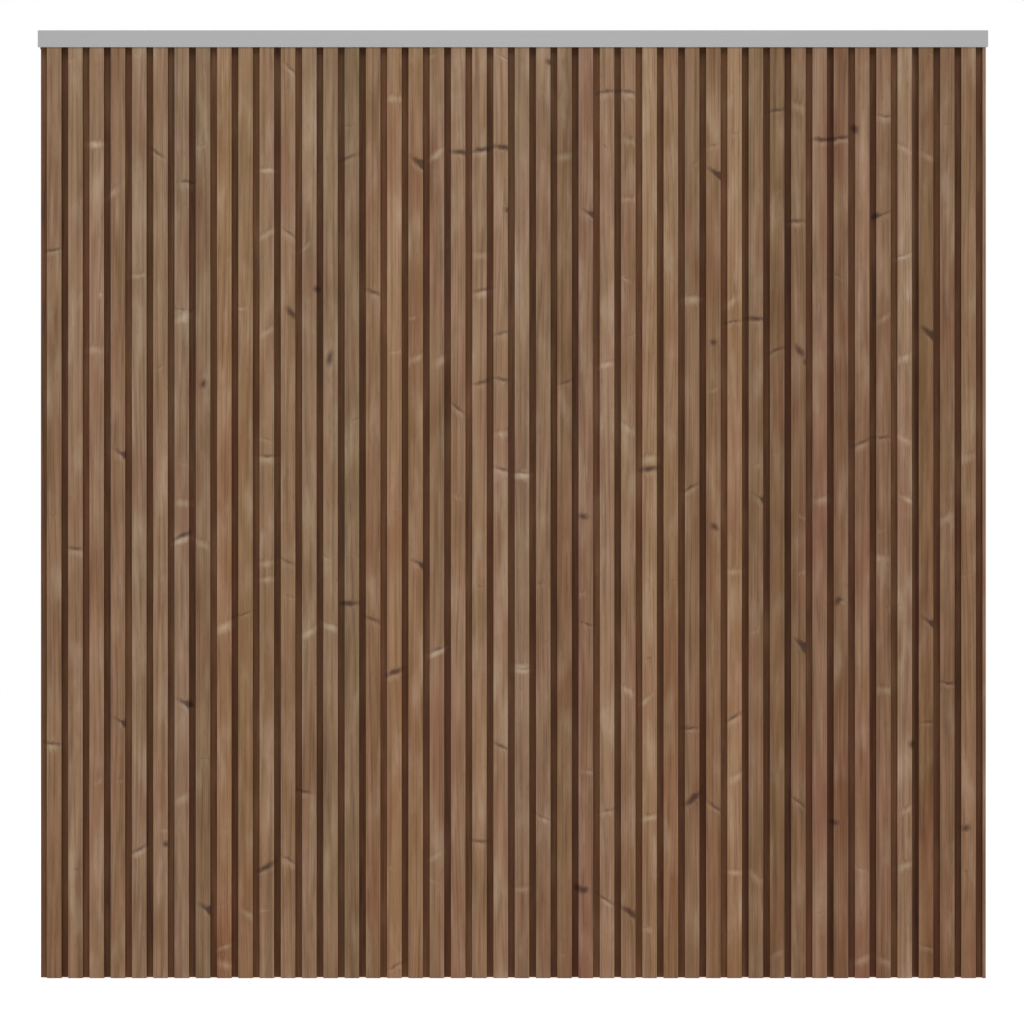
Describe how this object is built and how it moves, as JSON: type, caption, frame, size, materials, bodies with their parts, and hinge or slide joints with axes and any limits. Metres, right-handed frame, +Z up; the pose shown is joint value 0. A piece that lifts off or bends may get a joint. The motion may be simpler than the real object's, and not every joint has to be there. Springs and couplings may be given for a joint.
{
  "type": "fence panel",
  "caption": "Square garden fence panel of upright ribbed heat-treated pine boards on back rails, with a grey aluminium channel along its top edge.",
  "frame": {"origin": "centre of the panel's footprint at ground level, under the middle of its width and depth", "axes": "+Z up along the boards, +X to the right along the width as seen from the front, +Y from the ribbed front to the back with the rails"},
  "size_m": [1.8, 0.0564, 1.796],
  "materials": {
    "board_pine": "planed, matt",
    "rail_pine": "planed, matt",
    "cap_aluminium": "satin grey",
    "stainless": "satin"
  },
  "bodies": {
    "root": {"board_01": "board_pine", "board_02": "board_pine", "board_03": "board_pine", "board_04": "board_pine", "board_05": "board_pine", "board_06": "board_pine", "board_07": "board_pine", "board_08": "board_pine", "board_09": "board_pine", "board_10": "board_pine", "board_11": "board_pine", "board_12": "board_pine", "board_13": "board_pine", "board_14": "board_pine", "board_15": "board_pine", "board_16": "board_pine", "board_17": "board_pine", "board_18": "board_pine", "board_19": "board_pine", "board_20": "board_pine", "board_21": "board_pine", "board_22": "board_pine", "closing_strip": "board_pine", "top_rail": "rail_pine", "middle_rail": "rail_pine", "bottom_rail": "rail_pine", "top_rail_screws": "stainless", "middle_rail_screws": "stainless", "bottom_rail_screws": "stainless", "cap_screws": "stainless", "top_cap": "cap_aluminium"}
  },
  "joints": []
}
